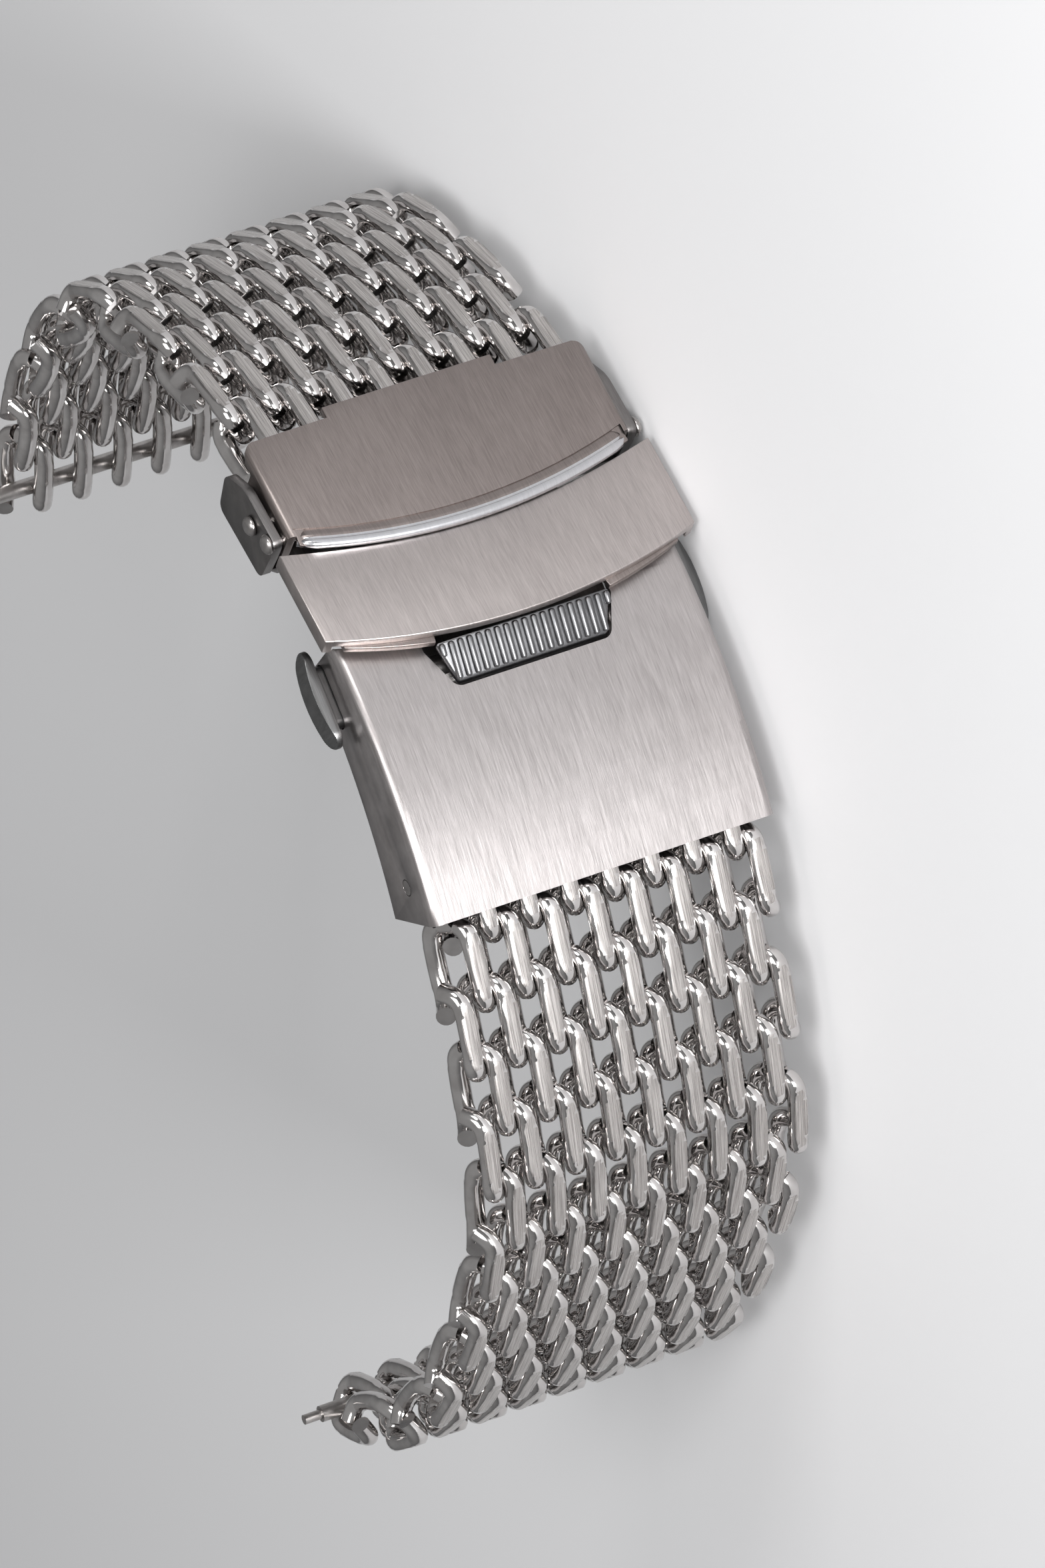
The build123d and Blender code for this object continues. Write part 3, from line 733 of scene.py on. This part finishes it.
# %% [markdown]
# The ribbed tab is what a fingernail lifts. It is wider at its root than at its tip. A cube's eight corners
# are set to the ends of the slanted plate, and its edges are bevelled.

# %% Slanted plate of the tab
tab_knee, tab_tip = 8.08, 10.03
tab_root_depth, tab_tip_depth = 0.88, 2.13
tab_root_half, tab_tip_half = 5.55, 4.78
tab_plate = 0.5
root_back, root_lift = 0.1, 0.05
tab_edge, tab_segments = 0.16, 4

bpy.ops.object.select_all(action="DESELECT")
bpy.ops.mesh.primitive_cube_add(size=1)
tab = bpy.context.object
tab.name = "dressed_ribbed_tab"
for vertex in tab.data.vertices:
    side = 1 if vertex.co.y > 0 else -1
    lower = tab_plate if vertex.co.z < 0 else 0
    if vertex.co.x > 0:
        vertex.co = on_lock(tab_tip, tab_tip_depth + lower, side * tab_tip_half)
    else:
        vertex.co = on_lock(tab_knee - root_back, tab_root_depth - root_lift + lower, side * tab_root_half)
bevel = tab.modifiers.new("soft edges", "BEVEL")
bevel.width = tab_edge * mm
bevel.segments = tab_segments
finish_modifiers(tab)

# %% [markdown]
# The tab's ribs are small round bars with domed ends. They could be swellings of the plate, but a bar set
# half into it gives the same look. One rib is a cylinder with bevelled ends. The rest are copies, and at
# the two slanted sides a copy's ends are pulled in to the length that the plate has there.

# %% Ribs of the tab
rib_count, rib_radius, rib_points = 19, 0.195, 14
rib_dome, rib_segments, rib_angle = 0.13, 3, 60
rib_start, rib_short, rib_rise = 0.03, 0.12, 0.06
tab_slant_share, least_rib_share = 0.8415, 0.25
tab_angle = 40

slope = (on_lock(tab_tip, tab_tip_depth) - on_lock(tab_knee, tab_root_depth)).normalized()
face_out = square_to(slope, -lock_down)
rib_pitch = 2 * tab_root_half / rib_count
full_slant = (tab_tip - tab_knee) / tab_slant_share
full_rib = full_slant - rib_short
bpy.ops.mesh.primitive_cylinder_add(vertices=rib_points, radius=rib_radius * mm, depth=full_rib * mm)
first_rib = bpy.context.object
rounding = first_rib.modifiers.new("domed ends", "BEVEL")
rounding.width = rib_dome * mm
rounding.segments = rib_segments
rounding.limit_method = "ANGLE"
rounding.angle_limit = radians(rib_angle)
finish_modifiers(first_rib)

ribs = []
for number in range(rib_count):
    across = -tab_root_half + (number + 0.5) * rib_pitch
    slant_share = (tab_root_half - abs(across)) / (tab_root_half - tab_tip_half)
    length = full_slant * min(1.0, max(least_rib_share, slant_share)) - rib_short
    rib = first_rib.copy()
    rib.data = first_rib.data.copy()
    bpy.context.scene.collection.objects.link(rib)
    for vertex in rib.data.vertices:
        vertex.co.z -= (1 if vertex.co.z > 0 else -1) * (full_rib - length) / 2 * mm
    middle = on_lock(tab_knee, tab_root_depth, across)
    middle += (slope * (rib_start + length / 2) + face_out * rib_rise) * mm
    set_in_mesh(rib, Matrix.Translation(middle) @ turned_to(face_out, across_band, slope))
    ribs.append(rib)
bpy.data.objects.remove(first_rib)
pick(*ribs, tab)
bpy.ops.object.join()
close_up(tab)
# The tab's dark steel is painted shade.
dress(tab, "flip_lock", ["ribbed_tab"], painted_shade_tab_steel, tab_angle)
print("ribbed tab", len(tab.data.polygons), "faces")

# %% [markdown]
# The bottom leaf has two side lugs, ears of sheet with well-rounded corners that carry the headed pins.
# A bevel modifier picks edges by their angle, and the edges of the pin holes have the same angles. So the
# outline edges through a lug's thickness are picked by their place, away from the pins.

# %% Round corners of the side lugs
lug_pins = ((-2.97, 0.03), (-1.1, 0.9))
pin_hole_reach = 0.75
lug_inner_side = 10.95
same_place_slack = 0.02
lug_corner, lug_segments = 0.6, 4


def across_lug(first, last):
    """True for the outline edges of the side lugs, which run through the lug's thickness."""
    same_place = max(abs(first[0] - last[0]), abs(first[1] - last[1])) < same_place_slack
    from_pin = min(hypot(first[0] - place, first[1] - level) for place, level in lug_pins)
    in_lug = min(abs(first[2]), abs(last[2])) > lug_inner_side
    return same_place and in_lug and from_pin > pin_hole_reach


def round_lugs(piece):
    """Bevels the lug's outline edges."""
    pick(piece)
    bpy.ops.object.mode_set(mode="EDIT")
    bpy.ops.mesh.select_mode(type="EDGE")
    bpy.ops.mesh.select_all(action="DESELECT")
    bpy.ops.object.mode_set(mode="OBJECT")
    points = [side_view(vertex.co) for vertex in piece.data.vertices]
    for edge in piece.data.edges:
        edge.select = across_lug(*(points[corner] for corner in edge.vertices))
    bpy.ops.object.mode_set(mode="EDIT")
    bpy.ops.mesh.bevel(offset=lug_corner * mm, segments=lug_segments, affect="EDGES", clamp_overlap=True)
    bpy.ops.object.mode_set(mode="OBJECT")


# %% [markdown]
# The other pieces of the clasp are plain sheet and bar. Their outlines are right already, so they only
# get soft edges, and the pins with heads get domed ones. The remaining pins hardly show and keep their
# CAD mesh, with the same finish.

# %% Plates, leaves, buttons and pins
softened = []
for node, width, slot, material in (
    ("flip_lock_plate", 0.07, "clasp_steel", clasp_steel),
    # The inner plate's darker bridge steel is painted shade.
    ("flip_lock_inner_plate", 0.05, "clasp_steel", painted_shade_bridge_steel),
    ("cover", 0.07, "clasp_steel", cover_steel),
    # The two leaves get steel darkened as painted shade.
    ("bottom_leaf", 0.08, "clasp_steel", painted_shade_base_steel),
    ("middle_leaf", 0.06, "clasp_steel", painted_shade_base_steel),
    # The buttons get steel darkened as painted shade.
    ("button_left", 0.06, "button_steel", button_steel),
    ("button_right", 0.06, "button_steel", button_steel),
    ("bridge_pin", 0.14, "pin_steel", pin_steel),
    ("upper_mesh_pin", 0.14, "pin_steel", pin_steel),
):
    piece = soft_start(node)
    if node == "bottom_leaf":
        round_lugs(piece)
    soften(piece, width)
    dress(piece, frame["nodes"][node]["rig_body"], [node], material)
    softened.append(node)
    print(piece.name, len(piece.data.polygons), "faces")

for node in sorted(frame["nodes"]):
    piece = frame["nodes"][node]
    if node.endswith(("_pin", "_bar")) and node not in softened:
        piece.data.materials.clear()
        piece.data.materials.append(pin_steel)

# %% [markdown]
# The studio is a pale floor and soft light. Small lamps would leave hard white dots on polished wire, so
# the light comes from three large panels: one high up, one that lights the clasp, and a low one that
# reaches the side of the band.

# %% Floor and lamps
floor_size = 4
bpy.ops.mesh.primitive_plane_add(size=floor_size, location=(0, 0, 0))
floor = bpy.context.object
floor.name = "floor"
floor_paint = bpy.data.materials.new("pale floor")
Finish(floor_paint, "Principled BSDF", Base_Color=(0.80, 0.80, 0.81, 1), Roughness=0.8)
floor.data.materials.append(floor_paint)


def panel(name, place, aim, size, power):
    """A square lamp at a place in millimetres round the clasp, aimed at a point."""
    data = bpy.data.lights.new(name, "AREA")
    data.size = size * mm
    data.energy = power
    lamp = bpy.data.objects.new(name, data)
    bpy.context.scene.collection.objects.link(lamp)
    lamp.location = Vector(place) * mm
    lamp.rotation_euler = (Vector(aim) * mm - lamp.location).to_track_quat("-Z", "Y").to_euler()
    return lamp


lamps = [
    panel("high panel", (-150, -350, 420), (0, -10, 13), size=260, power=1.4),
    panel("clasp panel", (120, -430, 160), (0, -20, 13), size=140, power=0.6),
    panel("low panel", (-250, -280, 60), (-18, -24, 10), size=110, power=1.8),
]
print("lamps", [lamp.name for lamp in lamps])

# %% [markdown]
# Polished wire mirrors what is round it. An even world would leave it flat and white, so the world goes
# from a dark foot to a pale top, and the wire gets its dark lines from the foot.

# %% World with a darker foot
world_between = (0.35, 0.85)
world_foot, world_top = (0.10, 0.10, 0.11), (0.9, 0.9, 0.9)
world_strength = 0.35
world = bpy.data.worlds.new("studio")
bpy.context.scene.world = world
sky = Finish(world, "Background", Strength=world_strength)
height = sky.node("ShaderNodeSeparateXYZ", "Z", None, {0: sky.node("ShaderNodeTexCoord", "Generated")})
sky.colour(height * 0.5 + 0.5, world_between, world_foot, world_top, "Color")
bpy.context.scene.view_settings.view_transform = "Standard"
